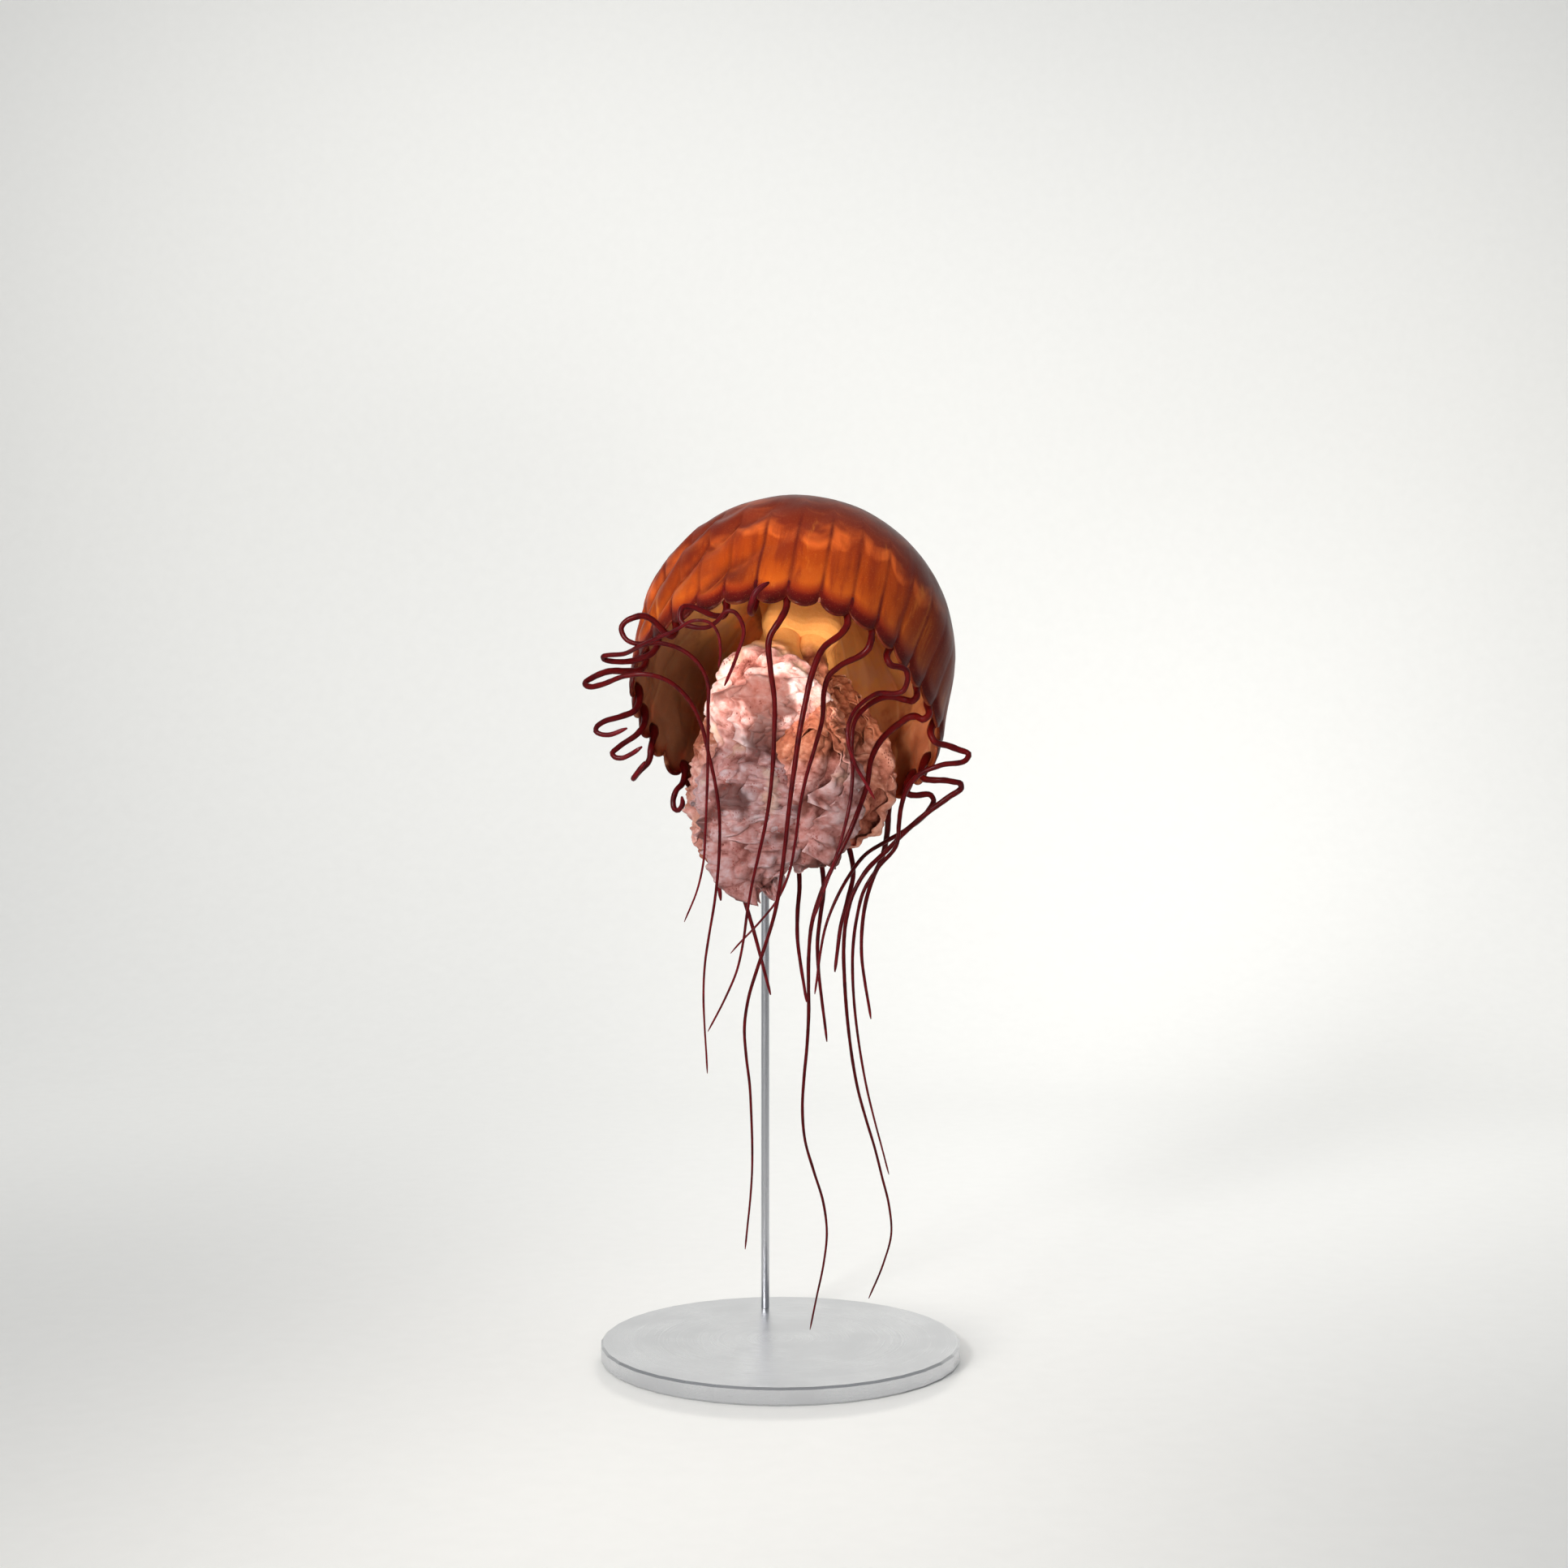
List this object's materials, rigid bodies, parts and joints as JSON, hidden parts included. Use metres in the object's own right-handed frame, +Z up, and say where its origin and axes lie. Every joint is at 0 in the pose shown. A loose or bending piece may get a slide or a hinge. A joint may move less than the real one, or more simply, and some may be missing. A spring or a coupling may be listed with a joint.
{
  "type": "sea nettle jellyfish model",
  "caption": "Still life-size sea nettle jellyfish with domed bell, scalloped margin, frilled oral arms and trailing tentacles, held by a rod on a round base.",
  "frame": {"origin": "middle of the flat underside of the stand's round base", "axes": "+Z up; +Y towards the back of the animal, where the rod stands; the bell's mouth opens towards -Y and down"},
  "size_m": [0.259, 0.2697, 0.5973],
  "materials": {
    "bell": "wet translucent jelly, orange-brown",
    "bell_margin": "wet translucent jelly, dark maroon",
    "oral_arms": "soft wet frills, pale pink to cream",
    "tentacles": "wet, dark maroon",
    "stand_base": "fine satin",
    "stand_rod": "satin"
  },
  "bodies": {
    "root": {"bell_dome_back": "bell", "bell_dome_front": "bell", "bell_dome_left": "bell", "bell_dome_right": "bell", "bell_margin": "bell_margin", "manubrium": "bell", "oral_arm_back_left": "oral_arms", "oral_arm_back_right": "oral_arms", "oral_arm_front_left": "oral_arms", "oral_arm_front_right": "oral_arms", "stand_base": "stand_base", "stand_pad": "stand_rod", "stand_rod": "stand_rod", "tentacle_01_a": "tentacles", "tentacle_01_b": "tentacles", "tentacle_01_c": "tentacles", "tentacle_02_a": "tentacles", "tentacle_02_b": "tentacles", "tentacle_02_c": "tentacles", "tentacle_03_a": "tentacles", "tentacle_03_b": "tentacles", "tentacle_04_a": "tentacles", "tentacle_05_a": "tentacles", "tentacle_05_b": "tentacles", "tentacle_06_a": "tentacles", "tentacle_06_b": "tentacles", "tentacle_06_c": "tentacles", "tentacle_07_a": "tentacles", "tentacle_07_b": "tentacles", "tentacle_07_c": "tentacles", "tentacle_08_a": "tentacles", "tentacle_09_a": "tentacles", "tentacle_10_a": "tentacles", "tentacle_10_b": "tentacles", "tentacle_10_c": "tentacles", "tentacle_11_a": "tentacles", "tentacle_11_b": "tentacles", "tentacle_12_a": "tentacles", "tentacle_12_b": "tentacles", "tentacle_12_c": "tentacles", "tentacle_13_a": "tentacles", "tentacle_14_a": "tentacles", "tentacle_15_a": "tentacles", "tentacle_16_a": "tentacles", "tentacle_17_a": "tentacles", "tentacle_18_a": "tentacles", "tentacle_19_a": "tentacles", "tentacle_20_a": "tentacles", "tentacle_20_b": "tentacles", "tentacle_21_a": "tentacles", "tentacle_22_a": "tentacles", "tentacle_22_b": "tentacles", "tentacle_23_a": "tentacles", "tentacle_23_b": "tentacles", "tentacle_24_a": "tentacles", "tentacle_24_b": "tentacles", "tentacle_24_c": "tentacles"}
  },
  "joints": []
}
